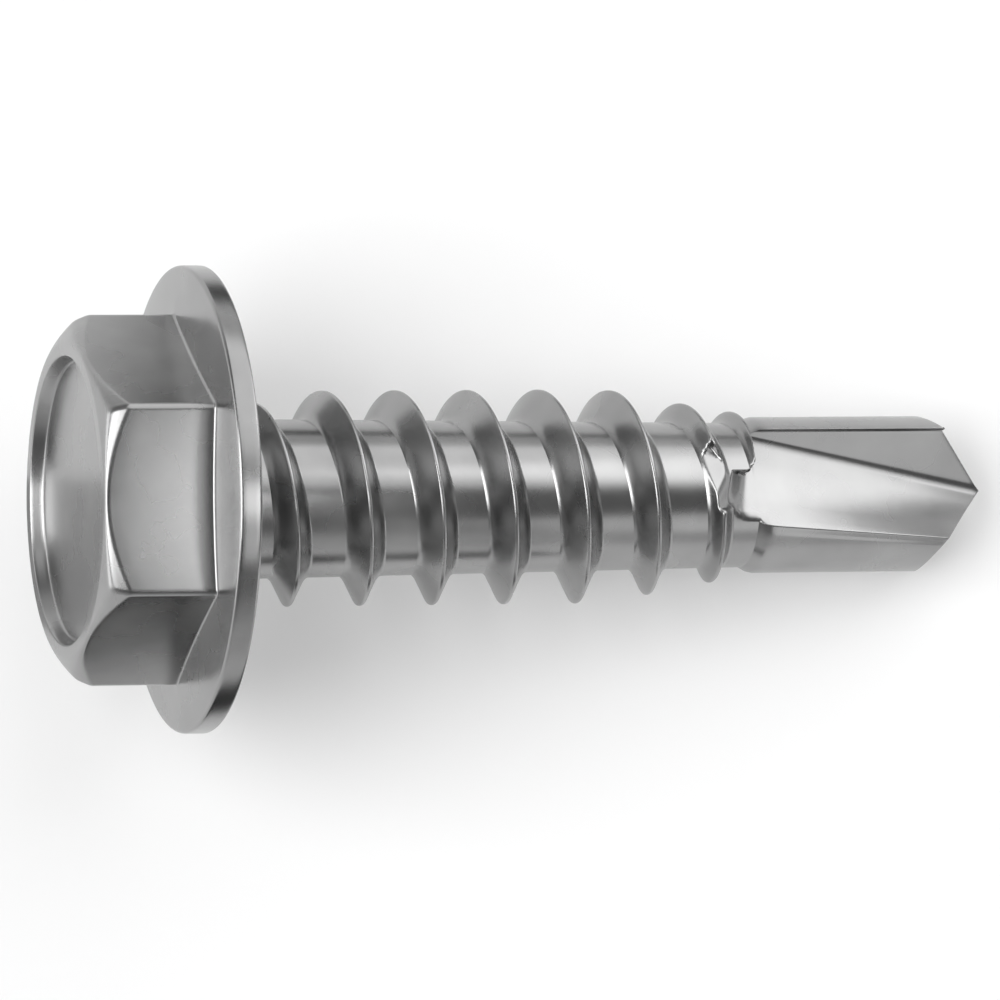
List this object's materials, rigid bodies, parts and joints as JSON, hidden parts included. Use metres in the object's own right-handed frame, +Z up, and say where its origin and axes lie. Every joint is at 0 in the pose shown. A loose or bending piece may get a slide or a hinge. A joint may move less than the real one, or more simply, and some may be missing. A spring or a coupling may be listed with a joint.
{
  "type": "self drilling screw",
  "caption": "Hex washer head self drilling screw with a coarse tapping thread and a two-flute drill point, lying as it comes to rest.",
  "frame": {"origin": "on the table under the middle of the screw's bounding box", "axes": "+Z up from the table, +X along the screw towards its drill point, +Y across it"},
  "size_m": [0.0188, 0.009, 0.0089],
  "materials": {
    "steel": "zinc plated and bright"
  },
  "bodies": {
    "root": {"screw": "steel"}
  },
  "joints": []
}
